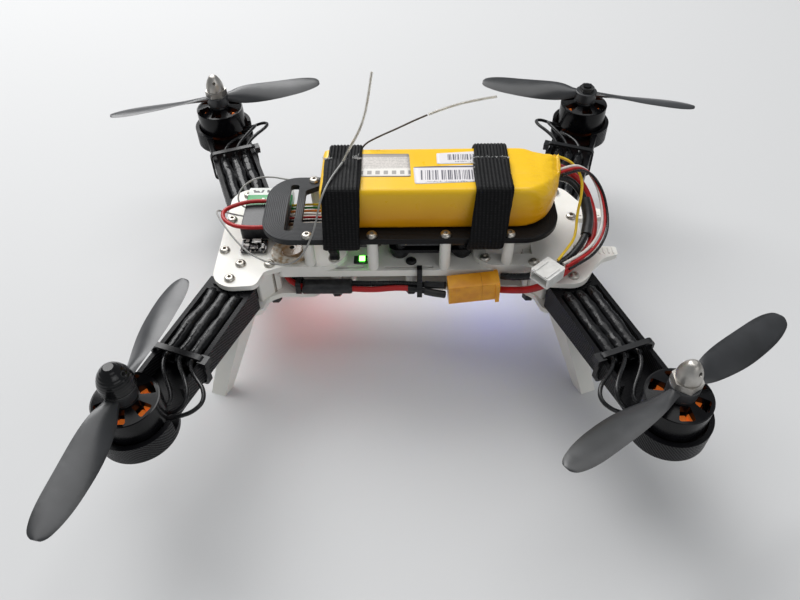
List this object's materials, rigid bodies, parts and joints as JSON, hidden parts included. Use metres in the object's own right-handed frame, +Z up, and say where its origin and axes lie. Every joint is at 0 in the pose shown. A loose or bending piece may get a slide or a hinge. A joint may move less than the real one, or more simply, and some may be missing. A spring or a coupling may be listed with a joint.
{
  "type": "quadcopter with flight controller board",
  "caption": "Printed-frame quadcopter: slanted arms with spinning propellers, strapped battery pack, splayed legs and a damped flight controller board between the decks.",
  "frame": {"origin": "centre of the four accessory holes, on the underside of the lower plate", "axes": "+X forward to the nose (prongs), +Y to the left, +Z up"},
  "size_m": [0.3485, 0.3024, 0.1433],
  "materials": {
    "printed_white": "printed, fine layer lines",
    "printed_black": "printed, satin, diagonal layer lines",
    "printed_grey": "printed, satin, concentric lines",
    "steel_screw": "plated",
    "black_nylon": "moulded",
    "motor_alloy": "machined",
    "bearing_steel": "ground",
    "lamination": "stacked sheet",
    "copper_winding": "enamelled wire",
    "bell_black": "gloss",
    "propeller_plastic": "satin moulded",
    "nut_steel": "polished",
    "nut_black": "gloss",
    "shrink_black": "heat shrink",
    "wire_black": "silicone",
    "wire_red": "silicone",
    "wire_mixed": "thin flexible wires, several colours",
    "tie_black": "moulded",
    "pack_yellow": "shrink film with plain label blocks",
    "strap_web": "ribbed elastic",
    "plug_white": "moulded",
    "plug_amber": "moulded nylon",
    "receiver_shell": "label film",
    "aerial_tube": "clear drawn tube over bare lead",
    "wire_grey": "thin coaxial lead",
    "board_black": "solder mask",
    "chip_black": "moulded",
    "header_black": "moulded bar with plated pins",
    "socket_steel": "folded sheet",
    "button_plastic": "moulded",
    "damper_rubber": "soft"
  },
  "bodies": {
    "airframe": {"antenna_coax": "wire_grey", "antenna_tubes": "aerial_tube", "arm_front_left": "printed_black", "arm_front_right": "printed_black", "arm_rear_left": "printed_black", "arm_rear_right": "printed_black", "balance_leads": "wire_mixed", "balance_plug": "plug_white", "battery_leads": "wire_red", "battery_pack": "pack_yellow", "battery_strap_front": "strap_web", "battery_strap_rear": "strap_web", "cable_sleeves": "shrink_black", "fc_chips": "chip_black", "fc_dampers": "damper_rubber", "fc_pin_headers": "header_black", "fc_tray": "printed_black", "fc_usb_socket": "socket_steel", "flight_controller_board": "board_black", "frame_screws": "steel_screw", "front_clamp": "printed_white", "harness_leads": "wire_red", "led_boards": "board_black", "leg_front_left": "printed_white", "leg_front_right": "printed_white", "leg_rear_left": "printed_white", "leg_rear_right": "printed_white", "lower_plate": "printed_white", "main_plate": "printed_white", "motor_bases": "motor_alloy", "motor_bearings": "bearing_steel", "motor_wires": "wire_black", "nylon_screws": "black_nylon", "power_board": "board_black", "power_plug_battery_side": "plug_amber", "power_plug_frame_side": "plug_amber", "rear_clamp": "printed_white", "receiver": "receiver_shell", "receiver_leads": "wire_mixed", "regulator_board": "board_black", "speed_controllers": "shrink_black", "standoffs": "printed_white", "stator_cores": "lamination", "stator_windings": "copper_winding", "top_plate": "printed_grey", "top_plate_screws": "steel_screw", "zip_ties": "tie_black"},
    "rotor_front_right": {"motor_bell_front_right": "bell_black", "propeller_front_right": "propeller_plastic", "prop_nut_front_right": "nut_steel"},
    "rotor_front_left": {"motor_bell_front_left": "bell_black", "propeller_front_left": "propeller_plastic", "prop_nut_front_left": "nut_black"},
    "rotor_rear_right": {"motor_bell_rear_right": "bell_black", "propeller_rear_right": "propeller_plastic", "prop_nut_rear_right": "nut_black"},
    "rotor_rear_left": {"motor_bell_rear_left": "bell_black", "propeller_rear_left": "propeller_plastic", "prop_nut_rear_left": "nut_steel"},
    "boot_button": {"fc_boot_button": "button_plastic"}
  },
  "joints": [
    {"name": "spin_front_right", "type": "hinge", "parent": "airframe", "child": "rotor_front_right", "pos_m": [0.1126, -0.109, 0.036], "axis": [0, 0, 1], "continuous": true},
    {"name": "spin_front_left", "type": "hinge", "parent": "airframe", "child": "rotor_front_left", "pos_m": [0.1126, 0.109, 0.036], "axis": [0, 0, 1], "continuous": true},
    {"name": "spin_rear_right", "type": "hinge", "parent": "airframe", "child": "rotor_rear_right", "pos_m": [-0.1126, -0.109, 0.036], "axis": [0, 0, 1], "continuous": true},
    {"name": "spin_rear_left", "type": "hinge", "parent": "airframe", "child": "rotor_rear_left", "pos_m": [-0.1126, 0.109, 0.036], "axis": [0, 0, 1], "continuous": true},
    {"name": "boot_press", "type": "slide", "parent": "airframe", "child": "boot_button", "axis": [0, 0, -1], "range_m": [0, 0.00025], "stiffness_N_per_m": 1500, "springref_m": -0.00005}
  ]
}
